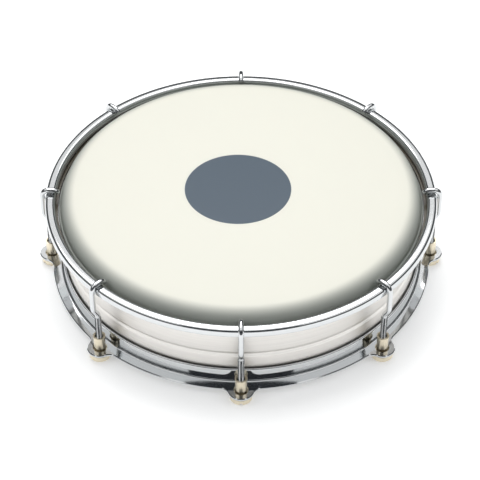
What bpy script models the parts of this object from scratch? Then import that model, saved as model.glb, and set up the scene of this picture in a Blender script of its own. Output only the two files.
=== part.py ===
"""A six-inch tamborim: a small frame drum with a plastic head on a metal shell.

All sizes are in metres, with +Z up.  The drum lies on the heads of its tension nuts, as it does on a
table, with the playing head up.  The origin is on the drum's axis, at the level of that table.
"""
from math import acos, atan2, cos, pi, radians, sin

import bmesh
import bpy

MM = 0.001

# Shell: sheet aluminium, its top edge curled inward as the bearing edge, one rolled groove
SHELL_RADIUS = 76.2 * MM
SHELL_WALL = 1.2 * MM
SHELL_LENGTH = 35.45 * MM
BEARING_CURL = 5.5 * MM
GROOVE_HEIGHT = 13.5 * MM
GROOVE_WIDTH = 3.2 * MM
GROOVE_DEPTH = 0.4 * MM

# Head: milky film, its rim locked with resin in a small metal channel
FILM = 0.25 * MM
COLLAR_BEND = 0.45 * MM
CHANNEL_WALL = 0.5 * MM
CHANNEL_WIDTH = 3.3 * MM
CHANNEL_HEIGHT = 3.1 * MM
CHANNEL_ROUND = 0.9 * MM
RIM_DEPTH = 1.4 * MM
BEAD_HEIGHT = 1.9 * MM

# Top hoop: a chromed bar with a rounded back
HOOP_BORE_RADIUS = 79.0 * MM
HOOP_WIDTH = 4.2 * MM
HOOP_HEIGHT = 3.4 * MM
HOOP_ROUND = 1.4 * MM
HOOP_FOOT_ROUND = 0.3 * MM

# Lower ring: a wall round the shell, a lip under it, and a flange with an ear at each hook
RING_WALL = 1.2 * MM
RING_HEIGHT = 7.8 * MM
RING_LIP = 3.0 * MM
FLANGE_THICKNESS = 1.3 * MM
FLANGE_WIDTH = 4.3 * MM
FLANGE_CORNER = 0.8 * MM
FLANGE_EDGE = 0.3 * MM
EAR_RADIUS = 5.3 * MM
EAR_FILLET = 4.0 * MM

# Tension hooks and their slotted sleeve nuts
HOOKS = 8
NUT_CIRCLE_RADIUS = 82.6 * MM
WIRE_RADIUS = 1.15 * MM
HOOK_TIP_TURN = 58
SHANK_LENGTH = 9.0 * MM
JOGGLE_LENGTH = 5.5 * MM
THREAD_RADIUS = 1.375 * MM
THREAD_LENGTH = 19.4 * MM
THREAD_CHAMFER = 0.4 * MM
SLEEVE_RADIUS = 2.4 * MM
SLEEVE_LENGTH = 8.4 * MM
FLARE_RADIUS = 2.6 * MM
FLARE_LENGTH = 1.6 * MM
COUNTERSINK = 0.3 * MM
NUT_HEAD_RADIUS = 4.6 * MM
NUT_HEAD_HEIGHT = 2.9 * MM
NUT_HEAD_CHAMFER = 0.4 * MM
SLOT_WIDTH = 1.2 * MM
SLOT_DEPTH = 1.3 * MM
SLOT_TURN = 67

# Clearances: between parts that seat on each other, of a sleeve in its ear, of a thread in its nut,
# and of the head's channel outside the film's collar
SEAT = 0.3 * MM
SLEEVE_PLAY = 0.65 * MM
THREAD_PLAY = 0.3 * MM
CHANNEL_PLAY = 0.1 * MM

# Fineness of the round forms
ROUND_STEPS = 48
EAR_STEPS = 10
FILLET_STEPS = 4
FLANGE_STEPS = 5
HOLE_STEPS = 16
NUT_STEPS = 14

# Levels that follow, from the table up
flange_bottom = NUT_HEAD_HEIGHT + SEAT
flange_top = flange_bottom + FLANGE_THICKNESS
ring_top = flange_bottom + RING_HEIGHT
shell_bottom = flange_top + SEAT
shell_top = shell_bottom + SHELL_LENGTH
curl_level = shell_top - BEARING_CURL
channel_top = curl_level
hoop_bottom = channel_top + SEAT
hoop_top = hoop_bottom + HOOP_HEIGHT

# Radii that follow
ring_bore = SHELL_RADIUS + SEAT
ring_outer = ring_bore + RING_WALL
flange_outer = ring_outer + FLANGE_WIDTH
film_bore = SHELL_RADIUS + SEAT
channel_inner = film_bore + CHANNEL_PLAY
channel_outer = channel_inner + CHANNEL_WIDTH
hoop_outer = HOOP_BORE_RADIUS + HOOP_WIDTH
ear_hole = SLEEVE_RADIUS + SLEEVE_PLAY
nut_bore = THREAD_RADIUS + THREAD_PLAY


def clear_scene():
    """Remove whatever the scene holds."""
    for item in list(bpy.data.objects):
        bpy.data.objects.remove(item, do_unlink=True)


def material(name, color, roughness, metallic):
    """A plain Principled BSDF material."""
    made = bpy.data.materials.new(name)
    made.use_nodes = True
    shader = made.node_tree.nodes["Principled BSDF"]
    shader.inputs["Base Color"].default_value = (*color, 1.0)
    shader.inputs["Roughness"].default_value = roughness
    shader.inputs["Metallic"].default_value = metallic
    made.diffuse_color = (*color, 1.0)
    return made


def arc(center_r, center_z, radius, start, end, steps):
    """Points (r, z) along an arc, its angles in degrees from the outward direction."""
    turn = (end - start) / steps
    angles = [radians(start + turn * i) for i in range(steps + 1)]
    return [(center_r + radius * cos(a), center_z + radius * sin(a)) for a in angles]


def smooth(mesh, angle=30):
    """Shade a mesh smooth, with its real corners left sharp."""
    mesh.shade_smooth()
    mesh.set_sharp_from_angle(angle=radians(angle))


def add_object(name, mesh, finish, parent=None):
    """Put a mesh in the scene under its name, with its material."""
    made = bpy.data.objects.new(name, mesh)
    if not mesh.materials:
        mesh.materials.append(finish)
    bpy.context.collection.objects.link(made)
    made.parent = parent
    return made


def mesh_from(name, bm):
    """Turn a finished bmesh into a mesh with its faces pointing out."""
    bmesh.ops.recalc_face_normals(bm, faces=bm.faces)
    mesh = bpy.data.meshes.new(name)
    bm.to_mesh(mesh)
    bm.free()
    smooth(mesh)
    return mesh


def turned(name, profile, steps, closed=True):
    """Spin a profile of (r, z) points about Z; an open profile starts and ends on the axis."""
    bm = bmesh.new()
    points = [bm.verts.new((r, 0, z)) for r, z in profile]
    pairs = list(zip(points, points[1:]))
    if closed:
        pairs.append((points[-1], points[0]))
    edges = [bm.edges.new(pair) for pair in pairs]
    bmesh.ops.spin(bm, geom=points + edges, cent=(0, 0, 0), axis=(0, 0, 1), angle=2 * pi, steps=steps,
                   use_merge=True)
    bmesh.ops.remove_doubles(bm, verts=bm.verts, dist=0.001 * MM)
    return mesh_from(name, bm)


def shell_profile():
    """Section of the shell: a straight wall with a rolled groove, curled over at the top."""
    inner = SHELL_RADIUS - SHELL_WALL
    middle = shell_bottom + GROOVE_HEIGHT
    groove = [(-GROOVE_WIDTH / 2, 0), (-GROOVE_WIDTH / 6, GROOVE_DEPTH),
              (GROOVE_WIDTH / 6, GROOVE_DEPTH), (GROOVE_WIDTH / 2, 0)]
    curl_r = SHELL_RADIUS - BEARING_CURL
    outside = [(SHELL_RADIUS - depth, middle + rise) for rise, depth in groove]
    inside = [(inner - depth, middle + rise) for rise, depth in reversed(groove)]
    return (
        [(inner, shell_bottom), (SHELL_RADIUS, shell_bottom)]
        + outside
        + arc(curl_r, curl_level, BEARING_CURL, 0, 90, 5)
        + [(curl_r - SHELL_WALL / 2, shell_top - SHELL_WALL / 2)]
        + arc(curl_r, curl_level, BEARING_CURL - SHELL_WALL, 90, 0, 4)
        + inside
    )


def film_profile():
    """Section of the film: flat over the bearing edge, down the collar, and into its channel."""
    curl_r = SHELL_RADIUS - BEARING_CURL
    under = BEARING_CURL + SEAT
    over = under + FILM
    bend_r = film_bore + FILM / 2 + COLLAR_BEND
    wide = COLLAR_BEND + FILM / 2
    tight = COLLAR_BEND - FILM / 2
    lower = curl_level - 2 * COLLAR_BEND
    rim = lower - RIM_DEPTH
    top_side = (
        [(0, curl_level + over)]
        + arc(curl_r, curl_level, over, 90, 0, 5)
        + arc(bend_r, curl_level, tight, 180, 270, 2)[1:]
        + arc(bend_r, lower, wide, 90, 0, 2)[1:]
        + [(bend_r + wide, rim)]
    )
    under_side = (
        [(bend_r + tight, rim)]
        + arc(bend_r, lower, tight, 0, 90, 2)
        + arc(bend_r, curl_level, wide, 270, 180, 2)[1:]
        + arc(curl_r, curl_level, under, 0, 90, 5)[1:]
        + [(0, curl_level + under)]
    )
    return top_side + under_side


def channel_floor():
    """Level of the inside floor of the head's channel."""
    return channel_top - CHANNEL_HEIGHT + CHANNEL_WALL


def channel_profile():
    """Section of the head's channel: open at the top, its inner wall lower to let the film in."""
    bottom = channel_top - CHANNEL_HEIGHT
    inner_top = curl_level - COLLAR_BEND - FILM / 2 - SEAT
    return (
        [(channel_inner, bottom + CHANNEL_WALL), (channel_inner + CHANNEL_WALL, bottom)]
        + arc(channel_outer - CHANNEL_ROUND, bottom + CHANNEL_ROUND, CHANNEL_ROUND, -90, 0, 2)
        + [(channel_outer, channel_top), (channel_outer - CHANNEL_WALL, channel_top)]
        + [(channel_outer - CHANNEL_WALL, channel_floor()), (channel_inner + CHANNEL_WALL, channel_floor())]
        + [(channel_inner + CHANNEL_WALL, inner_top), (channel_inner, inner_top)]
    )


def bead_profile():
    """Section of the resin that fills the channel outside the film's rim."""
    rim_outer = film_bore + 2 * COLLAR_BEND + FILM
    inner = rim_outer + SEAT
    outer = channel_outer - CHANNEL_WALL - SEAT
    bottom = channel_floor() + SEAT
    return [(inner, bottom), (outer, bottom), (outer, bottom + BEAD_HEIGHT), (inner, bottom + BEAD_HEIGHT)]


def hoop_profile():
    """Section of the hoop: a bar with a rounded back."""
    shoulder = hoop_top - HOOP_ROUND
    foot = hoop_bottom + HOOP_FOOT_ROUND
    return (
        arc(hoop_outer - HOOP_ROUND, shoulder, HOOP_ROUND, 0, 90, 3)
        + arc(HOOP_BORE_RADIUS + HOOP_ROUND, shoulder, HOOP_ROUND, 90, 180, 3)
        + arc(HOOP_BORE_RADIUS + HOOP_FOOT_ROUND, foot, HOOP_FOOT_ROUND, 180, 270, 1)
        + arc(hoop_outer - HOOP_FOOT_ROUND, foot, HOOP_FOOT_ROUND, 270, 360, 1)
    )


def station_angle(index):
    """Direction of a hook from the drum's axis; the first one faces the player."""
    return -pi / 2 + 2 * pi * index / HOOKS


def circle(radius, steps, center=(0, 0), start=0.0):
    """Points (x, y) round a circle."""
    angles = [start + 2 * pi * i / steps for i in range(steps)]
    return [(center[0] + radius * cos(a), center[1] + radius * sin(a)) for a in angles]


def sweep(center, radius, start, end, steps):
    """Points (x, y) along an arc from one angle to another, without the last."""
    turn = (end - start) / steps
    return [(center[0] + radius * cos(start + turn * i), center[1] + radius * sin(start + turn * i))
            for i in range(steps)]


def flange_outline(inset):
    """Outline of the flange and its ears, drawn in by an even amount all round."""
    rim = flange_outer
    reach = NUT_CIRCLE_RADIUS
    fillet_from_axis = rim + EAR_FILLET
    fillet_from_ear = EAR_RADIUS + EAR_FILLET
    spread = acos((reach ** 2 + fillet_from_axis ** 2 - fillet_from_ear ** 2)
                  / (2 * reach * fillet_from_axis))
    half_pitch = pi / HOOKS
    points = []
    for index in range(HOOKS):
        middle = station_angle(index)
        ear = (reach * cos(middle), reach * sin(middle))
        before = (fillet_from_axis * cos(middle - spread), fillet_from_axis * sin(middle - spread))
        after = (fillet_from_axis * cos(middle + spread), fillet_from_axis * sin(middle + spread))
        into = atan2(ear[1] - before[1], ear[0] - before[0])
        out = atan2(ear[1] - after[1], ear[0] - after[0])
        ear_half = (out + pi - middle) % (2 * pi)
        fillet_turn = (middle - spread + pi - into) % (2 * pi)
        points += sweep((0, 0), rim - inset, middle - half_pitch, middle - spread, FLANGE_STEPS)
        points += sweep(before, EAR_FILLET + inset, into + fillet_turn, into, FILLET_STEPS)
        points += sweep(ear, EAR_RADIUS - inset, middle - ear_half, middle + ear_half, EAR_STEPS)
        points += sweep(after, EAR_FILLET + inset, out, out - fillet_turn, FILLET_STEPS)
        points += sweep((0, 0), rim - inset, middle + spread, middle + half_pitch, FLANGE_STEPS)
    return points


def loop(bm, points, level):
    """A closed loop of vertices at one level."""
    return [bm.verts.new((x, y, level)) for x, y in points]


def skin(bm, first, second):
    """Join two loops of as many vertices with a band of faces."""
    count = len(first)
    for i in range(count):
        j = (i + 1) % count
        bm.faces.new((first[i], first[j], second[j], second[i]))


def cover(bm, loops):
    """Fill the flat space between an outer loop and the loops inside it."""
    edges = []
    for ring in loops:
        for i, vertex in enumerate(ring):
            following = ring[(i + 1) % len(ring)]
            edges.append(bm.edges.get((vertex, following)) or bm.edges.new((vertex, following)))
    bmesh.ops.triangle_fill(bm, use_beauty=True, use_dissolve=False, edges=edges)


def lower_ring_mesh():
    """The ring: a turned wall and lip on a flat flange with rounded edges, ears and holes."""
    bm = bmesh.new()
    foot = ring_outer + FLANGE_CORNER
    half_wall = RING_WALL / 2
    wall = (
        arc(foot, flange_top + FLANGE_CORNER, FLANGE_CORNER, 270, 180, 2)
        + arc(ring_outer - half_wall, ring_top - half_wall, half_wall, 0, 180, 4)
        + [(ring_bore, flange_top), (ring_bore - RING_LIP, flange_top), (ring_bore - RING_LIP, flange_bottom)]
    )
    wall_loops = [loop(bm, circle(r, ROUND_STEPS), z) for r, z in wall]
    for lower, upper in zip(wall_loops, wall_loops[1:]):
        skin(bm, lower, upper)
    edge = [(FLANGE_EDGE, flange_top), (0, flange_top - FLANGE_EDGE),
            (0, flange_bottom + FLANGE_EDGE), (FLANGE_EDGE, flange_bottom)]
    edge_loops = [loop(bm, flange_outline(inset), z) for inset, z in edge]
    for upper, lower in zip(edge_loops, edge_loops[1:]):
        skin(bm, upper, lower)
    top_holes = []
    bottom_holes = []
    for index in range(HOOKS):
        angle = station_angle(index)
        center = (NUT_CIRCLE_RADIUS * cos(angle), NUT_CIRCLE_RADIUS * sin(angle))
        top_holes.append(loop(bm, circle(ear_hole, HOLE_STEPS, center, angle), flange_top))
        bottom_holes.append(loop(bm, circle(ear_hole, HOLE_STEPS, center, angle), flange_bottom))
        skin(bm, top_holes[-1], bottom_holes[-1])
    cover(bm, [edge_loops[0], wall_loops[0]] + top_holes)
    cover(bm, [edge_loops[-1], wall_loops[-1]] + bottom_holes)
    return mesh_from("lower_ring", bm)


def hook_curve():
    """The hook in the plane of its station: +X points away from the drum, x = 0 is the nut's axis."""
    bend = HOOP_ROUND + SEAT + WIRE_RADIUS
    level = hoop_top - HOOP_ROUND
    outer_x = hoop_outer - HOOP_ROUND - NUT_CIRCLE_RADIUS
    inner_x = HOOP_BORE_RADIUS + HOOP_ROUND - NUT_CIRCLE_RADIUS
    shank_x = outer_x + bend
    tip_angle = 90 + HOOK_TIP_TURN
    over_inner = arc(inner_x, level, bend, tip_angle, 90, 3)
    over_outer = arc(outer_x, level, bend, 90, 0, 4)
    tip = over_inner[0]
    ahead = radians(tip_angle + 90)
    nose = (tip[0] + 0.5 * WIRE_RADIUS * cos(ahead), tip[1] + 0.5 * WIRE_RADIUS * sin(ahead))
    joggle_top = level - SHANK_LENGTH
    thread_top = joggle_top - JOGGLE_LENGTH
    thread_end = thread_top - THREAD_LENGTH
    thick = THREAD_RADIUS / WIRE_RADIUS
    points = [(nose, 0.5), (tip, 1.0)]
    points += [(point, 1.0) for point in over_inner[1:] + over_outer]
    for step in range(5):
        share = step / 4
        ease = (1 - cos(pi * share)) / 2
        points.append(((shank_x * (1 - ease), joggle_top - JOGGLE_LENGTH * share), 1.0))
    chamfer = THREAD_CHAMFER / WIRE_RADIUS
    points.append(((0, thread_top - THREAD_CHAMFER), thick))
    points.append(((0, thread_end + THREAD_CHAMFER), thick))
    points.append(((0, thread_end), thick - chamfer))
    curve = bpy.data.curves.new("tension_hook", "CURVE")
    curve.dimensions = "3D"
    curve.bevel_depth = WIRE_RADIUS
    curve.bevel_resolution = 2
    curve.use_fill_caps = True
    spline = curve.splines.new("POLY")
    spline.points.add(len(points) - 1)
    for target, ((x, z), size) in zip(spline.points, points):
        target.co = (x, 0, z, 1)
        target.radius = size
    return curve


def nut_body_profile():
    """Section of a nut: a head, and a bored sleeve that flares a little at its mouth."""
    top = NUT_HEAD_HEIGHT + SLEEVE_LENGTH
    mouth = nut_bore + COUNTERSINK
    return [
        (nut_bore, 0),
        (NUT_HEAD_RADIUS - NUT_HEAD_CHAMFER, 0),
        (NUT_HEAD_RADIUS, NUT_HEAD_CHAMFER),
        (NUT_HEAD_RADIUS, NUT_HEAD_HEIGHT - NUT_HEAD_CHAMFER),
        (NUT_HEAD_RADIUS - NUT_HEAD_CHAMFER, NUT_HEAD_HEIGHT),
        (SLEEVE_RADIUS, NUT_HEAD_HEIGHT),
        (SLEEVE_RADIUS, top - FLARE_LENGTH),
        (FLARE_RADIUS, top),
        (mouth, top),
        (nut_bore, top - COUNTERSINK),
    ]


def box_mesh(name, size_x, size_y, low, high):
    """A closed box centred on the Z axis."""
    bm = bmesh.new()
    bmesh.ops.create_cube(bm, size=1.0)
    bmesh.ops.scale(bm, vec=(size_x, size_y, high - low), verts=bm.verts)
    bmesh.ops.translate(bm, vec=(0, 0, (high + low) / 2), verts=bm.verts)
    return mesh_from(name, bm)


def nut_mesh():
    """A nut with the screwdriver slot cut across the underside of its head."""
    body = bpy.data.objects.new("nut_blank", turned("nut_blank", nut_body_profile(), NUT_STEPS))
    slot_box = box_mesh("nut_slot", 3 * NUT_HEAD_RADIUS, SLOT_WIDTH, -SLOT_DEPTH, SLOT_DEPTH)
    cutter = bpy.data.objects.new("nut_slot", slot_box)
    for item in (body, cutter):
        bpy.context.collection.objects.link(item)
    cut = body.modifiers.new("slot", "BOOLEAN")
    cut.operation = "DIFFERENCE"
    cut.object = cutter
    graph = bpy.context.evaluated_depsgraph_get()
    mesh = bpy.data.meshes.new_from_object(body.evaluated_get(graph))
    mesh.name = "tension_nut"
    for item in (body, cutter):
        bpy.data.objects.remove(item, do_unlink=True)
    smooth(mesh)
    return mesh


def build():
    """Model every part in its place."""
    clear_scene()
    aluminium = material("satin_aluminium", (0.80, 0.78, 0.75), 0.38, 1.0)
    chrome = material("chrome_plate", (0.80, 0.81, 0.83), 0.10, 1.0)
    nickel = material("nickel_plated_brass", (0.86, 0.80, 0.66), 0.25, 1.0)
    milky = material("milky_film", (0.91, 0.90, 0.84), 0.45, 0.0)
    channel_metal = material("mill_aluminium", (0.66, 0.66, 0.67), 0.45, 1.0)
    resin = material("amber_resin", (0.55, 0.42, 0.20), 0.30, 0.0)

    add_object("shell", turned("shell", shell_profile(), ROUND_STEPS), aluminium)
    add_object("drumhead_film", turned("drumhead_film", film_profile(), ROUND_STEPS, closed=False), milky)
    add_object("flesh_hoop", turned("flesh_hoop", channel_profile(), ROUND_STEPS), channel_metal)
    add_object("resin_bead", turned("resin_bead", bead_profile(), ROUND_STEPS), resin)
    add_object("top_hoop", turned("top_hoop", hoop_profile(), ROUND_STEPS), chrome)
    add_object("lower_ring", lower_ring_mesh(), chrome)

    hook = hook_curve()
    nut = nut_mesh()
    for index in range(HOOKS):
        angle = station_angle(index)
        station = bpy.data.objects.new(f"station_{index + 1}", None)
        station.location = (NUT_CIRCLE_RADIUS * cos(angle), NUT_CIRCLE_RADIUS * sin(angle), 0)
        station.rotation_euler = (0, 0, angle)
        bpy.context.collection.objects.link(station)
        add_object(f"tension_hook_{index + 1}", hook, chrome, station)
        fitted = add_object(f"tension_nut_{index + 1}", nut, nickel, station)
        fitted.rotation_euler = (0, 0, radians(SLOT_TURN * index))


build()
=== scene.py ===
"""The tamborim as it is photographed: from the front and above, on a plain white floor.

Sizes are in metres, +Z up.  The frame's CAD parts are shown through finer pieces made from the same sizes.
"""

from math import acos, atan2, cos, pi, radians, sin

import bmesh
import bpy
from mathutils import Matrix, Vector


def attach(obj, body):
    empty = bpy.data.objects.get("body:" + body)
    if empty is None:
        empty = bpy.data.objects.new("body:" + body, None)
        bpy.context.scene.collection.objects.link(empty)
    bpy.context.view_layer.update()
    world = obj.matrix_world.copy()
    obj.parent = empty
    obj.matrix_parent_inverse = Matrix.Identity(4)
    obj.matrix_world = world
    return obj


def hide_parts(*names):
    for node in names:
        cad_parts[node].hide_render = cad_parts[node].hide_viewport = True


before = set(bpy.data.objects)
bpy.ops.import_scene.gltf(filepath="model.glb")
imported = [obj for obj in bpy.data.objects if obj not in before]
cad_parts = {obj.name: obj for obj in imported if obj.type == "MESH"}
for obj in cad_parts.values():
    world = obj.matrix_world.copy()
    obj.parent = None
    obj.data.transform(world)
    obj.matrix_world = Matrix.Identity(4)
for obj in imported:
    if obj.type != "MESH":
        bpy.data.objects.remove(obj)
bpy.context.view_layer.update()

MM = 0.001

# Shell: sheet aluminium, its top edge curled inward as the bearing edge, one rolled groove
SHELL_RADIUS = 76.2 * MM
SHELL_WALL = 1.2 * MM
SHELL_LENGTH = 35.45 * MM
BEARING_CURL = 5.5 * MM
GROOVE_HEIGHT = 13.5 * MM
GROOVE_WIDTH = 3.2 * MM
GROOVE_DEPTH = 0.4 * MM

# Head: milky film, its rim locked with resin in a small metal channel
FILM = 0.25 * MM
COLLAR_BEND = 0.45 * MM
CHANNEL_WALL = 0.5 * MM
CHANNEL_WIDTH = 3.3 * MM
CHANNEL_HEIGHT = 3.1 * MM
CHANNEL_ROUND = 0.9 * MM
RIM_DEPTH = 1.4 * MM
BEAD_HEIGHT = 1.9 * MM

# Top hoop: a chromed bar with a rounded back
HOOP_BORE_RADIUS = 79.0 * MM
HOOP_WIDTH = 4.2 * MM
HOOP_HEIGHT = 3.4 * MM
HOOP_ROUND = 1.4 * MM
HOOP_FOOT_ROUND = 0.3 * MM

# Lower ring: a wall round the shell, a lip under it, and a flange with an ear at each hook
RING_WALL = 1.2 * MM
RING_HEIGHT = 7.8 * MM
RING_LIP = 3.0 * MM
FLANGE_THICKNESS = 1.3 * MM
FLANGE_WIDTH = 4.3 * MM
FLANGE_CORNER = 0.8 * MM
FLANGE_EDGE = 0.3 * MM
EAR_RADIUS = 5.3 * MM
EAR_FILLET = 4.0 * MM

# Tension hooks and their slotted sleeve nuts
HOOKS = 8
NUT_CIRCLE_RADIUS = 82.6 * MM
WIRE_RADIUS = 1.15 * MM
HOOK_TIP_TURN = 58
SHANK_LENGTH = 9.0 * MM
JOGGLE_LENGTH = 5.5 * MM
THREAD_RADIUS = 1.375 * MM
THREAD_LENGTH = 19.4 * MM
THREAD_CHAMFER = 0.4 * MM
THREAD_PITCH = 0.5 * MM
THREAD_DEPTH = 0.25 * MM
SLEEVE_RADIUS = 2.4 * MM
SLEEVE_LENGTH = 8.4 * MM
FLARE_RADIUS = 2.6 * MM
FLARE_LENGTH = 1.6 * MM
COUNTERSINK = 0.3 * MM
NUT_HEAD_RADIUS = 4.6 * MM
NUT_HEAD_HEIGHT = 2.9 * MM
NUT_HEAD_CHAMFER = 0.4 * MM
SLOT_WIDTH = 1.2 * MM
SLOT_DEPTH = 1.3 * MM
SLOT_TURN = 67

# Clearances: between parts that seat on each other, of a sleeve in its ear, of a thread in its nut,
# and of the head's channel outside the film's collar
SEAT = 0.3 * MM
SLEEVE_PLAY = 0.65 * MM
THREAD_PLAY = 0.3 * MM
CHANNEL_PLAY = 0.1 * MM

# Fineness of the round forms
ROUND_STEPS = 320
EAR_STEPS = 40
FILLET_STEPS = 14
FLANGE_STEPS = 14
HOLE_STEPS = 48
NUT_STEPS = 64
GROOVE_STEPS = 16
ARC_FINENESS = 4

# Fineness of the hooks: rings to a turn of thread, points along the joggle, sides of the wire
THREAD_RINGS = 8
JOGGLE_POINTS = 24
WIRE_STEPS = 28
TIP_DOME_TURNS = (80, 65, 50, 35, 18)

# Thread form: its flanks are steeper than a plain zigzag, which leaves a narrow flat at the root
THREAD_FLANK = 1.2

# Print on the head, a little off its middle, and painted shade that greys the film over the shell's edge
PRINT_CENTER = (-1.3 * MM, 0, 0)
PRINT_RADIUS = 22.6 * MM
PRINT_EDGE = 0.08 * MM
SHADE_START = 70.2 * MM
SHADE_END = 77.0 * MM

# Surface patterns: grinding marks round the shell, waves in the plate's polish, grains of the film's coat.
# The real marks and grains are finer; these are as coarse as they need to be to show.
MARK_LENGTH = 40 * MM
MARK_SPACING = 0.1923 * MM
POLISH_WAVE = 3.846 * MM
COAT_GRAIN = 0.3846 * MM
RELIEF = 0.02 * MM

# Camera, fitted to the hoop's outline and the places of the hooks
CAMERA_PLACE = (0, -0.5824, 0.5380)
CAMERA_PITCH = 42.12
CAMERA_LENS = 135.27
CAMERA_SENSOR = 36
CAMERA_SHIFT = -0.00225

# Floor and room: the room is darker near the horizon, where no lamp hangs
FLOOR_SIZE = 12
FLOOR_LIFT = 0.30
ROOM_LOW = 0.12
ROOM_HIGH = 0.80
ROOM_TOP = 0.95

# Lamps: one large one overhead and behind, and a weaker one on each side
TOP_LAMP_PLACE = (-0.1, 0.45, 1.1)
TOP_LAMP_SIZE = 0.9
TOP_LAMP_WATTS = 9.0
SIDE_LAMP_REACH = 0.9
SIDE_LAMP_BACK = -0.3
SIDE_LAMP_HEIGHT = 0.8
SIDE_LAMP_SIZE = 0.35
SIDE_LAMP_WATTS = 1.2
SIDE_LAMP_AIM = (0, 0, 0.02)

# Dark card behind the camera and grey curtain round the table, which only the metal mirrors
CARD_PLACE = (0, -0.66, 0.60)
CARD_WIDTH = 0.80
CARD_HEIGHT = 0.42
CURTAIN_RADIUS = 2.5
CURTAIN_HEIGHT = 1.9
CURTAIN_SIDES = 64

# Levels that follow, from the table up
flange_bottom = NUT_HEAD_HEIGHT + SEAT
flange_top = flange_bottom + FLANGE_THICKNESS
ring_top = flange_bottom + RING_HEIGHT
shell_bottom = flange_top + SEAT
shell_top = shell_bottom + SHELL_LENGTH
curl_level = shell_top - BEARING_CURL
channel_top = curl_level
hoop_bottom = channel_top + SEAT
hoop_top = hoop_bottom + HOOP_HEIGHT

# Radii that follow
ring_bore = SHELL_RADIUS + SEAT
ring_outer = ring_bore + RING_WALL
flange_outer = ring_outer + FLANGE_WIDTH
film_bore = SHELL_RADIUS + SEAT
channel_inner = film_bore + CHANNEL_PLAY
channel_outer = channel_inner + CHANNEL_WIDTH
hoop_outer = HOOP_BORE_RADIUS + HOOP_WIDTH
ear_hole = SLEEVE_RADIUS + SLEEVE_PLAY
nut_bore = THREAD_RADIUS + THREAD_PLAY


def arc(center_r, center_z, radius, start, end, steps):
    """Points (r, z) along an arc, its angles in degrees from the outward direction."""
    steps = steps * ARC_FINENESS
    turn = (end - start) / steps
    angles = [radians(start + turn * i) for i in range(steps + 1)]
    return [(center_r + radius * cos(a), center_z + radius * sin(a)) for a in angles]


def smooth(mesh, angle=30):
    """Shade a mesh smooth, with its real corners left sharp."""
    mesh.shade_smooth()
    mesh.set_sharp_from_angle(angle=radians(angle))


def mesh_from(name, bm):
    """Turn a finished bmesh into a mesh with its faces pointing out."""
    bmesh.ops.recalc_face_normals(bm, faces=bm.faces)
    mesh = bpy.data.meshes.new(name)
    bm.to_mesh(mesh)
    bm.free()
    smooth(mesh)
    return mesh


def turned(name, profile, steps, closed=True):
    """Spin a profile of (r, z) points about Z; an open profile starts and ends on the axis."""
    bm = bmesh.new()
    points = [bm.verts.new((r, 0, z)) for r, z in profile]
    pairs = list(zip(points, points[1:]))
    if closed:
        pairs.append((points[-1], points[0]))
    edges = [bm.edges.new(pair) for pair in pairs]
    bmesh.ops.spin(bm, geom=points + edges, cent=(0, 0, 0), axis=(0, 0, 1), angle=2 * pi, steps=steps,
                   use_merge=True)
    bmesh.ops.remove_doubles(bm, verts=bm.verts, dist=0.001 * MM)
    return mesh_from(name, bm)


def shell_profile():
    """Section of the shell: a straight wall with a rolled groove, curled over at the top."""
    inner = SHELL_RADIUS - SHELL_WALL
    middle = shell_bottom + GROOVE_HEIGHT
    turns = [i / GROOVE_STEPS for i in range(GROOVE_STEPS + 1)]
    groove = [(GROOVE_WIDTH * (t - 0.5), GROOVE_DEPTH * (1 - cos(2 * pi * t)) / 2) for t in turns]
    curl_r = SHELL_RADIUS - BEARING_CURL
    outside = [(SHELL_RADIUS - depth, middle + rise) for rise, depth in groove]
    inside = [(inner - depth, middle + rise) for rise, depth in reversed(groove)]
    return (
        [(inner, shell_bottom), (SHELL_RADIUS, shell_bottom)]
        + outside
        + arc(curl_r, curl_level, BEARING_CURL, 0, 90, 5)
        + [(curl_r - SHELL_WALL / 2, shell_top - SHELL_WALL / 2)]
        + arc(curl_r, curl_level, BEARING_CURL - SHELL_WALL, 90, 0, 4)
        + inside
    )


def film_profile():
    """Section of the film: flat over the bearing edge, down the collar, and into its channel."""
    curl_r = SHELL_RADIUS - BEARING_CURL
    under = BEARING_CURL + SEAT
    over = under + FILM
    bend_r = film_bore + FILM / 2 + COLLAR_BEND
    wide = COLLAR_BEND + FILM / 2
    tight = COLLAR_BEND - FILM / 2
    lower = curl_level - 2 * COLLAR_BEND
    rim = lower - RIM_DEPTH
    top_side = (
        [(0, curl_level + over)]
        + arc(curl_r, curl_level, over, 90, 0, 5)
        + arc(bend_r, curl_level, tight, 180, 270, 2)[1:]
        + arc(bend_r, lower, wide, 90, 0, 2)[1:]
        + [(bend_r + wide, rim)]
    )
    under_side = (
        [(bend_r + tight, rim)]
        + arc(bend_r, lower, tight, 0, 90, 2)
        + arc(bend_r, curl_level, wide, 270, 180, 2)[1:]
        + arc(curl_r, curl_level, under, 0, 90, 5)[1:]
        + [(0, curl_level + under)]
    )
    return top_side + under_side


def channel_floor():
    """Level of the inside floor of the head's channel."""
    return channel_top - CHANNEL_HEIGHT + CHANNEL_WALL


def channel_profile():
    """Section of the head's channel: open at the top, its inner wall lower to let the film in."""
    bottom = channel_top - CHANNEL_HEIGHT
    inner_top = curl_level - COLLAR_BEND - FILM / 2 - SEAT
    return (
        [(channel_inner, bottom + CHANNEL_WALL), (channel_inner + CHANNEL_WALL, bottom)]
        + arc(channel_outer - CHANNEL_ROUND, bottom + CHANNEL_ROUND, CHANNEL_ROUND, -90, 0, 2)
        + [(channel_outer, channel_top), (channel_outer - CHANNEL_WALL, channel_top)]
        + [(channel_outer - CHANNEL_WALL, channel_floor()), (channel_inner + CHANNEL_WALL, channel_floor())]
        + [(channel_inner + CHANNEL_WALL, inner_top), (channel_inner, inner_top)]
    )


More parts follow.
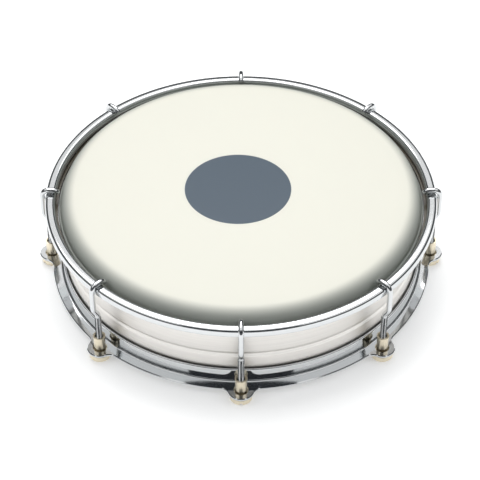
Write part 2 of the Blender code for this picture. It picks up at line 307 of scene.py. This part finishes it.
def bead_profile():
    """Section of the resin that fills the channel outside the film's rim."""
    rim_outer = film_bore + 2 * COLLAR_BEND + FILM
    inner = rim_outer + SEAT
    outer = channel_outer - CHANNEL_WALL - SEAT
    bottom = channel_floor() + SEAT
    return [(inner, bottom), (outer, bottom), (outer, bottom + BEAD_HEIGHT), (inner, bottom + BEAD_HEIGHT)]


def hoop_profile():
    """Section of the hoop: a bar with a rounded back."""
    shoulder = hoop_top - HOOP_ROUND
    foot = hoop_bottom + HOOP_FOOT_ROUND
    return (
        arc(hoop_outer - HOOP_ROUND, shoulder, HOOP_ROUND, 0, 90, 3)
        + arc(HOOP_BORE_RADIUS + HOOP_ROUND, shoulder, HOOP_ROUND, 90, 180, 3)
        + arc(HOOP_BORE_RADIUS + HOOP_FOOT_ROUND, foot, HOOP_FOOT_ROUND, 180, 270, 1)
        + arc(hoop_outer - HOOP_FOOT_ROUND, foot, HOOP_FOOT_ROUND, 270, 360, 1)
    )


def station_angle(index):
    """Direction of a hook from the drum's axis; the first one faces the player."""
    return -pi / 2 + 2 * pi * index / HOOKS


def circle(radius, steps, center=(0, 0), start=0.0):
    """Points (x, y) round a circle."""
    angles = [start + 2 * pi * i / steps for i in range(steps)]
    return [(center[0] + radius * cos(a), center[1] + radius * sin(a)) for a in angles]


def sweep(center, radius, start, end, steps):
    """Points (x, y) along an arc from one angle to another, without the last."""
    turn = (end - start) / steps
    return [(center[0] + radius * cos(start + turn * i), center[1] + radius * sin(start + turn * i))
            for i in range(steps)]


def flange_outline(inset):
    """Outline of the flange and its ears, drawn in by an even amount all round."""
    rim = flange_outer
    reach = NUT_CIRCLE_RADIUS
    fillet_from_axis = rim + EAR_FILLET
    fillet_from_ear = EAR_RADIUS + EAR_FILLET
    spread = acos((reach ** 2 + fillet_from_axis ** 2 - fillet_from_ear ** 2)
                  / (2 * reach * fillet_from_axis))
    half_pitch = pi / HOOKS
    points = []
    for index in range(HOOKS):
        middle = station_angle(index)
        ear = (reach * cos(middle), reach * sin(middle))
        before = (fillet_from_axis * cos(middle - spread), fillet_from_axis * sin(middle - spread))
        after = (fillet_from_axis * cos(middle + spread), fillet_from_axis * sin(middle + spread))
        into = atan2(ear[1] - before[1], ear[0] - before[0])
        out = atan2(ear[1] - after[1], ear[0] - after[0])
        ear_half = (out + pi - middle) % (2 * pi)
        fillet_turn = (middle - spread + pi - into) % (2 * pi)
        points += sweep((0, 0), rim - inset, middle - half_pitch, middle - spread, FLANGE_STEPS)
        points += sweep(before, EAR_FILLET + inset, into + fillet_turn, into, FILLET_STEPS)
        points += sweep(ear, EAR_RADIUS - inset, middle - ear_half, middle + ear_half, EAR_STEPS)
        points += sweep(after, EAR_FILLET + inset, out, out - fillet_turn, FILLET_STEPS)
        points += sweep((0, 0), rim - inset, middle + spread, middle + half_pitch, FLANGE_STEPS)
    return points


def loop(bm, points, level):
    """A closed loop of vertices at one level."""
    return [bm.verts.new((x, y, level)) for x, y in points]


def skin(bm, first, second):
    """Join two loops of as many vertices with a band of faces."""
    count = len(first)
    for i in range(count):
        j = (i + 1) % count
        bm.faces.new((first[i], first[j], second[j], second[i]))


def cover(bm, loops):
    """Fill the flat space between an outer loop and the loops inside it."""
    edges = []
    for ring in loops:
        for i, vertex in enumerate(ring):
            following = ring[(i + 1) % len(ring)]
            edges.append(bm.edges.get((vertex, following)) or bm.edges.new((vertex, following)))
    bmesh.ops.triangle_fill(bm, use_beauty=True, use_dissolve=False, edges=edges)


def lower_ring_mesh():
    """The ring: a turned wall and lip on a flat flange with rounded edges, ears and holes."""
    bm = bmesh.new()
    foot = ring_outer + FLANGE_CORNER
    half_wall = RING_WALL / 2
    wall = (
        arc(foot, flange_top + FLANGE_CORNER, FLANGE_CORNER, 270, 180, 2)
        + arc(ring_outer - half_wall, ring_top - half_wall, half_wall, 0, 180, 4)
        + [(ring_bore, flange_top), (ring_bore - RING_LIP, flange_top), (ring_bore - RING_LIP, flange_bottom)]
    )
    wall_loops = [loop(bm, circle(r, ROUND_STEPS), z) for r, z in wall]
    for lower, upper in zip(wall_loops, wall_loops[1:]):
        skin(bm, lower, upper)
    edge = [(FLANGE_EDGE, flange_top), (0, flange_top - FLANGE_EDGE),
            (0, flange_bottom + FLANGE_EDGE), (FLANGE_EDGE, flange_bottom)]
    edge_loops = [loop(bm, flange_outline(inset), z) for inset, z in edge]
    for upper, lower in zip(edge_loops, edge_loops[1:]):
        skin(bm, upper, lower)
    top_holes = []
    bottom_holes = []
    for index in range(HOOKS):
        angle = station_angle(index)
        center = (NUT_CIRCLE_RADIUS * cos(angle), NUT_CIRCLE_RADIUS * sin(angle))
        top_holes.append(loop(bm, circle(ear_hole, HOLE_STEPS, center, angle), flange_top))
        bottom_holes.append(loop(bm, circle(ear_hole, HOLE_STEPS, center, angle), flange_bottom))
        skin(bm, top_holes[-1], bottom_holes[-1])
    cover(bm, [edge_loops[0], wall_loops[0]] + top_holes)
    cover(bm, [edge_loops[-1], wall_loops[-1]] + bottom_holes)
    return mesh_from("lower_ring", bm)


def nut_body_profile():
    """Section of a nut: a head, and a bored sleeve that flares a little at its mouth."""
    top = NUT_HEAD_HEIGHT + SLEEVE_LENGTH
    mouth = nut_bore + COUNTERSINK
    return [
        (nut_bore, 0),
        (NUT_HEAD_RADIUS - NUT_HEAD_CHAMFER, 0),
        (NUT_HEAD_RADIUS, NUT_HEAD_CHAMFER),
        (NUT_HEAD_RADIUS, NUT_HEAD_HEIGHT - NUT_HEAD_CHAMFER),
        (NUT_HEAD_RADIUS - NUT_HEAD_CHAMFER, NUT_HEAD_HEIGHT),
        (SLEEVE_RADIUS, NUT_HEAD_HEIGHT),
        (SLEEVE_RADIUS, top - FLARE_LENGTH),
        (FLARE_RADIUS, top),
        (mouth, top),
        (nut_bore, top - COUNTERSINK),
    ]


def box_mesh(name, size_x, size_y, low, high):
    """A closed box centred on the Z axis."""
    bm = bmesh.new()
    bmesh.ops.create_cube(bm, size=1.0)
    bmesh.ops.scale(bm, vec=(size_x, size_y, high - low), verts=bm.verts)
    bmesh.ops.translate(bm, vec=(0, 0, (high + low) / 2), verts=bm.verts)
    return mesh_from(name, bm)


def nut_mesh():
    """A nut with the screwdriver slot cut across the underside of its head."""
    body = bpy.data.objects.new("nut_blank", turned("nut_blank", nut_body_profile(), NUT_STEPS))
    slot_box = box_mesh("nut_slot", 3 * NUT_HEAD_RADIUS, SLOT_WIDTH, -SLOT_DEPTH, SLOT_DEPTH)
    cutter = bpy.data.objects.new("nut_slot", slot_box)
    for item in (body, cutter):
        bpy.context.collection.objects.link(item)
    cut = body.modifiers.new("slot", "BOOLEAN")
    cut.operation = "DIFFERENCE"
    cut.object = cutter
    graph = bpy.context.evaluated_depsgraph_get()
    mesh = bpy.data.meshes.new_from_object(body.evaluated_get(graph))
    mesh.name = "tension_nut"
    for item in (body, cutter):
        bpy.data.objects.remove(item, do_unlink=True)
    smooth(mesh)
    return mesh


def hook_path():
    """The hook's centreline and thickness: +X points away from the drum, x = 0 is the nut's axis."""
    bend = HOOP_ROUND + SEAT + WIRE_RADIUS
    level = hoop_top - HOOP_ROUND
    outer_x = hoop_outer - HOOP_ROUND - NUT_CIRCLE_RADIUS
    inner_x = HOOP_BORE_RADIUS + HOOP_ROUND - NUT_CIRCLE_RADIUS
    shank_x = outer_x + bend
    tip_angle = 90 + HOOK_TIP_TURN
    over_inner = arc(inner_x, level, bend, tip_angle, 90, 4)
    over_outer = arc(outer_x, level, bend, 90, 0, 5)
    tip = over_inner[0]
    ahead = radians(tip_angle + 90)
    nose = []
    for turn in TIP_DOME_TURNS:
        reach = WIRE_RADIUS / 2 * sin(radians(turn))
        point = (tip[0] + reach * cos(ahead), tip[1] + reach * sin(ahead))
        nose.append((point, WIRE_RADIUS * cos(radians(turn))))
    joggle_top = level - SHANK_LENGTH
    thread_top = joggle_top - JOGGLE_LENGTH
    thread_end = thread_top - THREAD_LENGTH
    path = nose + [(point, WIRE_RADIUS) for point in over_inner + over_outer[1:]]
    for step in range(JOGGLE_POINTS + 1):
        share = step / JOGGLE_POINTS
        ease = (1 - cos(pi * share)) / 2
        path.append(((shank_x * (1 - ease), joggle_top - JOGGLE_LENGTH * share), WIRE_RADIUS))
    rings = int(THREAD_LENGTH / THREAD_PITCH * THREAD_RINGS)
    for ring in range(1, rings + 1):
        fallen = THREAD_LENGTH * ring / rings
        to_end = min(fallen, THREAD_LENGTH - fallen)
        path.append(((0, thread_top - fallen), THREAD_RADIUS - max(0, THREAD_CHAMFER - to_end)))
    return path, thread_top


def thread_cut(z, turn, lean):
    """Depth of the right-hand thread at one height, for one direction round the wire."""
    around = atan2(sin(turn), cos(turn) * cos(lean)) / (2 * pi)
    place = (z / THREAD_PITCH - around) % 1
    return THREAD_DEPTH * min(1, abs(2 * place - 1) * THREAD_FLANK)


def hook_mesh():
    """A bent wire with a dome at its tip and a thread cut on its lower end."""
    path, thread_top = hook_path()
    bm = bmesh.new()
    loops = []
    for index, ((x, z), thick) in enumerate(path):
        (ax, az), _ = path[max(0, index - 1)]
        (bx, bz), _ = path[min(len(path) - 1, index + 1)]
        lean = atan2(bz - az, bx - ax) + pi / 2
        ring = []
        for step in range(WIRE_STEPS):
            turn = 2 * pi * step / WIRE_STEPS
            radius = thick
            if z < thread_top - THREAD_CHAMFER / 4:
                radius -= thread_cut(z, turn, lean)
            side = radius * cos(turn)
            ring.append(bm.verts.new((x + side * cos(lean), radius * sin(turn), z + side * sin(lean))))
        loops.append(ring)
    for first, second in zip(loops, loops[1:]):
        skin(bm, first, second)
    bm.faces.new(loops[0])
    bm.faces.new(loops[-1])
    return mesh_from("hook", bm)


def linear(hex_color):
    """An sRGB hex colour as the linear values that a shader takes."""
    parts = [int(hex_color[i:i + 2], 16) / 255 for i in (1, 3, 5)]
    return [p / 12.92 if p <= 0.04045 else ((p + 0.055) / 1.055) ** 2.4 for p in parts] + [1.0]


def node(tree, kind, values=None, **settings):
    """Add a node, set its fields, and set or link its inputs."""
    made = tree.nodes.new(kind)
    for key, value in settings.items():
        setattr(made, key, value)
    for key, value in (values or {}).items():
        if isinstance(value, bpy.types.NodeSocket):
            tree.links.new(value, made.inputs[key])
        else:
            made.inputs[key].default_value = value
    return made


def new_material(name):
    """An empty material, its node tree and its output node."""
    made = bpy.data.materials.new(name)
    made.use_nodes = True
    made.node_tree.nodes.clear()
    return made, made.node_tree, made.node_tree.nodes.new("ShaderNodeOutputMaterial")


def satin_aluminium():
    """Sheet aluminium, satin ground on a lathe: fine marks run round the shell.

    They draw a highlight out up and down, so the shell looks pale and soft, with faint rings of tone.
    """
    made, tree, output = new_material("satin_ground_aluminium")
    place = node(tree, "ShaderNodeTexCoord").outputs["Object"]
    per_mark = (1 / MARK_LENGTH, 1 / MARK_LENGTH, 1 / MARK_SPACING)
    stretched = node(tree, "ShaderNodeVectorMath", {0: place, 1: per_mark}, operation="MULTIPLY")
    marks = node(tree, "ShaderNodeTexNoise", {"Vector": stretched.outputs[0], "Scale": 1.0, "Detail": 3.0})
    tone = node(tree, "ShaderNodeMix", {"Factor": marks.outputs["Fac"], "A": linear("#DBD8D4"),
                                        "B": linear("#F6F3EE")}, data_type="RGBA")
    bump = node(tree, "ShaderNodeBump", {"Height": marks.outputs["Fac"], "Strength": 0.12,
                                         "Distance": RELIEF})
    tangent = node(tree, "ShaderNodeTangent", direction_type="RADIAL", axis="Z")
    shader = node(tree, "ShaderNodeBsdfPrincipled",
                  {"Base Color": tone.outputs["Result"], "Metallic": 1.0, "Roughness": 0.42,
                   "Anisotropic": 0.55, "Tangent": tangent.outputs[0], "Normal": bump.outputs[0]})
    tree.links.new(shader.outputs[0], output.inputs[0])
    return made


def plated(name, tint, low, high):
    """Plated metal, polished before plating: it mirrors the room, a little blurred by the uneven polish."""
    made, tree, output = new_material(name)
    place = node(tree, "ShaderNodeTexCoord").outputs["Object"]
    polish = node(tree, "ShaderNodeTexNoise", {"Vector": place, "Scale": 1 / POLISH_WAVE, "Detail": 2.0})
    rough = node(tree, "ShaderNodeMapRange", {"Value": polish.outputs["Fac"], "To Min": low, "To Max": high})
    shader = node(tree, "ShaderNodeBsdfPrincipled", {"Base Color": linear(tint), "Metallic": 1.0,
                                                     "Roughness": rough.outputs[0]})
    tree.links.new(shader.outputs[0], output.inputs[0])
    return made


def milky_film():
    """Milky plastic film with a fine matt coat, and a slate disc printed at its middle.

    Light goes through it, so it glows evenly; towards the edge its colour is greyed with painted shade, where
    metal lies close behind.
    """
    made, tree, output = new_material("coated_milky_film")
    place = node(tree, "ShaderNodeTexCoord").outputs["Object"]
    flat = node(tree, "ShaderNodeVectorMath", {0: place, 1: (1, 1, 0)}, operation="MULTIPLY")
    apart = node(tree, "ShaderNodeVectorMath", {0: flat.outputs[0], 1: PRINT_CENTER}, operation="DISTANCE")
    printed = node(tree, "ShaderNodeMapRange", {"Value": apart.outputs["Value"],
                                                "From Min": PRINT_RADIUS - PRINT_EDGE,
                                                "From Max": PRINT_RADIUS + PRINT_EDGE,
                                                "To Min": 1.0, "To Max": 0.0})
    edge = node(tree, "ShaderNodeVectorMath", {0: flat.outputs[0]}, operation="LENGTH")
    # Painted shade: the film's colour turns grey from SHADE_START out to SHADE_END, over the shell's curled
    # edge
    shade = node(tree, "ShaderNodeMapRange", {"Value": edge.outputs["Value"], "From Min": SHADE_START,
                                              "From Max": SHADE_END}, interpolation_type="SMOOTHSTEP")
    painted_shade_tone = node(tree, "ShaderNodeMix", {"Factor": shade.outputs[0], "A": linear("#FBFAF1"),
                                          "B": linear("#B6BAB3")}, data_type="RGBA")
    tone = node(tree, "ShaderNodeMix", {"Factor": printed.outputs[0], "A": painted_shade_tone.outputs["Result"],
                                        "B": linear("#62717F")}, data_type="RGBA")
    coat = node(tree, "ShaderNodeTexNoise", {"Vector": place, "Scale": 1 / COAT_GRAIN, "Detail": 2.0})
    bump = node(tree, "ShaderNodeBump", {"Height": coat.outputs["Fac"], "Strength": 0.15,
                                         "Distance": RELIEF})
    surface = node(tree, "ShaderNodeBsdfPrincipled", {"Base Color": tone.outputs["Result"], "Roughness": 0.42,
                                                      "Normal": bump.outputs[0]})
    through = node(tree, "ShaderNodeBsdfTranslucent", {"Color": tone.outputs["Result"]})
    share = node(tree, "ShaderNodeMixShader", {0: 0.35, 1: surface.outputs[0], 2: through.outputs[0]})
    tree.links.new(share.outputs[0], output.inputs[0])
    return made


def cast_resin():
    """Amber casting resin, poured into the head's channel and glossy; its colour is darkened with painted
    shade for that narrow gap.
    """
    made, tree, output = new_material("amber_resin_with_painted_shade")
    # Painted shade: the amber is darkened to the shade of the narrow gap, not the resin's own colour
    shader = node(tree, "ShaderNodeBsdfPrincipled", {"Base Color": linear("#4B4436"), "Roughness": 0.3,
                                                     "Coat Weight": 0.4})
    tree.links.new(shader.outputs[0], output.inputs[0])
    return made


def show(name, mesh, finish, body, cad_node, at=None):
    """Put a finer piece in the place of a CAD part."""
    piece = bpy.data.objects.new(name, mesh)
    if not mesh.materials:
        mesh.materials.append(finish)
    bpy.context.collection.objects.link(piece)
    if at:
        piece.location, piece.rotation_euler = at
    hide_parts(cad_node)
    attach(piece, body)


def make_pieces():
    """All the parts of the drum, with their finishes."""
    satin = satin_aluminium()
    chrome = plated("bright_chrome_plate", "#D6D8D9", 0.05, 0.10)
    nickel = plated("satin_nickel_plated_brass", "#EFE4CC", 0.24, 0.34)
    mill = plated("mill_finished_aluminium", "#D2D3D5", 0.38, 0.5)
    resin = cast_resin()
    film = milky_film()
    show("round_shell", turned("shell_fine", shell_profile(), ROUND_STEPS), satin, "drum", "shell")
    show("milky_head", turned("film_fine", film_profile(), ROUND_STEPS, closed=False), film, "drum",
         "drumhead_film")
    show("head_channel", turned("channel_fine", channel_profile(), ROUND_STEPS), mill, "drum", "flesh_hoop")
    show("channel_resin", turned("bead_fine", bead_profile(), ROUND_STEPS), resin, "drum", "resin_bead")
    show("rounded_hoop", turned("hoop_fine", hoop_profile(), ROUND_STEPS), chrome, "drum", "top_hoop")
    show("eared_ring", lower_ring_mesh(), chrome, "drum", "lower_ring")
    hook = hook_mesh()
    nut = nut_mesh()
    for index in range(HOOKS):
        angle = station_angle(index)
        spot = (NUT_CIRCLE_RADIUS * cos(angle), NUT_CIRCLE_RADIUS * sin(angle), 0)
        slot_angle = angle + radians(SLOT_TURN * index)
        number = index + 1
        show(f"bent_hook_{number}", hook, chrome, f"hook_{number}", f"tension_hook_{number}",
             (spot, (0, 0, angle)))
        show(f"sleeve_nut_{number}", nut, nickel, f"nut_{number}", f"tension_nut_{number}",
             (spot, (0, 0, slot_angle)))


def seen_rays(tree):
    """1 for what the camera sees, straight or in polished metal, and 0 for light that falls on the drum."""
    rays = node(tree, "ShaderNodeLightPath").outputs
    mirrored = node(tree, "ShaderNodeMath", {0: rays["Is Camera Ray"], 1: rays["Is Glossy Ray"]},
                    operation="ADD")
    return node(tree, "ShaderNodeMath", {0: mirrored.outputs[0], 1: rays["Is Transmission Ray"]},
                operation="ADD", use_clamp=True).outputs[0]


def make_floor():
    """A white paper floor that keeps the drum's shadow and is lifted to white where it is seen."""
    bpy.ops.mesh.primitive_plane_add(size=FLOOR_SIZE)
    floor = bpy.context.object
    floor.name = "white_floor"
    made, tree, output = new_material("white_paper")
    lift = node(tree, "ShaderNodeMath", {0: seen_rays(tree), 1: FLOOR_LIFT}, operation="MULTIPLY")
    paper = node(tree, "ShaderNodeBsdfDiffuse", {"Color": linear("#F2F2F2")})
    glow = node(tree, "ShaderNodeEmission", {"Color": (1, 1, 1, 1), "Strength": lift.outputs[0]})
    both = node(tree, "ShaderNodeAddShader", {0: paper.outputs[0], 1: glow.outputs[0]})
    tree.links.new(both.outputs[0], output.inputs[0])
    floor.data.materials.append(made)


def make_world():
    """A pale room: it lights the drum more from overhead than from the horizon, and is seen as white."""
    world = bpy.data.worlds.new("pale_room")
    bpy.context.scene.world = world
    world.use_nodes = True
    tree = world.node_tree
    tree.nodes.clear()
    output = tree.nodes.new("ShaderNodeOutputWorld")
    direction = node(tree, "ShaderNodeTexCoord").outputs["Generated"]
    height = node(tree, "ShaderNodeSeparateXYZ", {0: direction}).outputs["Z"]
    tone = node(tree, "ShaderNodeMapRange", {"Value": height, "From Min": 0.0, "From Max": ROOM_TOP,
                                             "To Min": ROOM_LOW, "To Max": ROOM_HIGH},
                interpolation_type="SMOOTHSTEP")
    room = node(tree, "ShaderNodeBackground", {"Color": linear("#F2F4F5"), "Strength": tone.outputs[0]})
    white = node(tree, "ShaderNodeBackground", {"Color": (1, 1, 1, 1), "Strength": 1.0})
    mixed = node(tree, "ShaderNodeMixShader", {0: seen_rays(tree), 1: room.outputs[0], 2: white.outputs[0]})
    tree.links.new(mixed.outputs[0], output.inputs[0])


def make_lamp(name, location, target, size, watts, mirrored=True):
    """A square soft lamp aimed at a point, seen in the polished metal or not."""
    light = bpy.data.lights.new(name, "AREA")
    light.size = size
    light.energy = watts
    lamp = bpy.data.objects.new(name, light)
    bpy.context.collection.objects.link(lamp)
    lamp.location = location
    lamp.visible_glossy = mirrored
    away = lamp.location - Vector(target)
    lamp.rotation_euler = away.to_track_quat("Z", "Y").to_euler()


def make_lamps():
    """A large soft lamp overhead, and a small one on each side that the metal doesn't mirror."""
    make_lamp("top_soft", TOP_LAMP_PLACE, (0, 0, 0), TOP_LAMP_SIZE, TOP_LAMP_WATTS)
    for name, side in (("left_soft", -1), ("right_soft", 1)):
        place = (side * SIDE_LAMP_REACH, SIDE_LAMP_BACK, SIDE_LAMP_HEIGHT)
        make_lamp(name, place, SIDE_LAMP_AIM, SIDE_LAMP_SIZE, SIDE_LAMP_WATTS, mirrored=False)


def show_in_metal_only(backing):
    """Let a card or a curtain show only in what mirrors it, and cast no shade."""
    backing.visible_camera = False
    backing.visible_diffuse = False
    backing.visible_shadow = False


def cloth_material(name, tint):
    """Plain woven cloth, matt enough to need no pattern at this distance."""
    made, tree, output = new_material(name)
    cloth = node(tree, "ShaderNodeBsdfDiffuse", {"Color": linear(tint)})
    tree.links.new(cloth.outputs[0], output.inputs[0])
    return made


def make_dark_card():
    """The dark space behind the camera, which the chromed ring mirrors at the front."""
    bpy.ops.mesh.primitive_plane_add(size=1, location=CARD_PLACE)
    card = bpy.context.object
    card.name = "dark_card"
    card.scale = (CARD_WIDTH, CARD_HEIGHT, 1)
    card.rotation_euler = (radians(90 - CAMERA_PITCH), 0, 0)
    card.data.materials.append(cloth_material("dark_cotton_cloth", "#3C3E42"))
    show_in_metal_only(card)


def make_curtain():
    """A grey curtain round the table, which gives the polished metal its darker tones."""
    bpy.ops.mesh.primitive_cylinder_add(vertices=CURTAIN_SIDES, radius=CURTAIN_RADIUS, depth=CURTAIN_HEIGHT,
                                        end_fill_type="NOTHING", location=(0, 0, CURTAIN_HEIGHT / 2))
    curtain = bpy.context.object
    curtain.name = "grey_curtain"
    curtain.data.materials.append(cloth_material("grey_cotton_curtain", "#76797B"))
    show_in_metal_only(curtain)


def make_camera():
    """The camera that was fitted to the hoop's outline in the photograph."""
    lens = bpy.data.cameras.new("camera")
    lens.lens = CAMERA_LENS
    lens.sensor_width = CAMERA_SENSOR
    lens.shift_x = CAMERA_SHIFT
    camera = bpy.data.objects.new("camera", lens)
    bpy.context.collection.objects.link(camera)
    camera.location = CAMERA_PLACE
    camera.rotation_euler = (radians(90 - CAMERA_PITCH), 0, 0)
    bpy.context.scene.camera = camera


make_pieces()
make_floor()
make_world()
make_lamps()
make_dark_card()
make_curtain()
make_camera()
bpy.context.scene.view_settings.view_transform = "Standard"
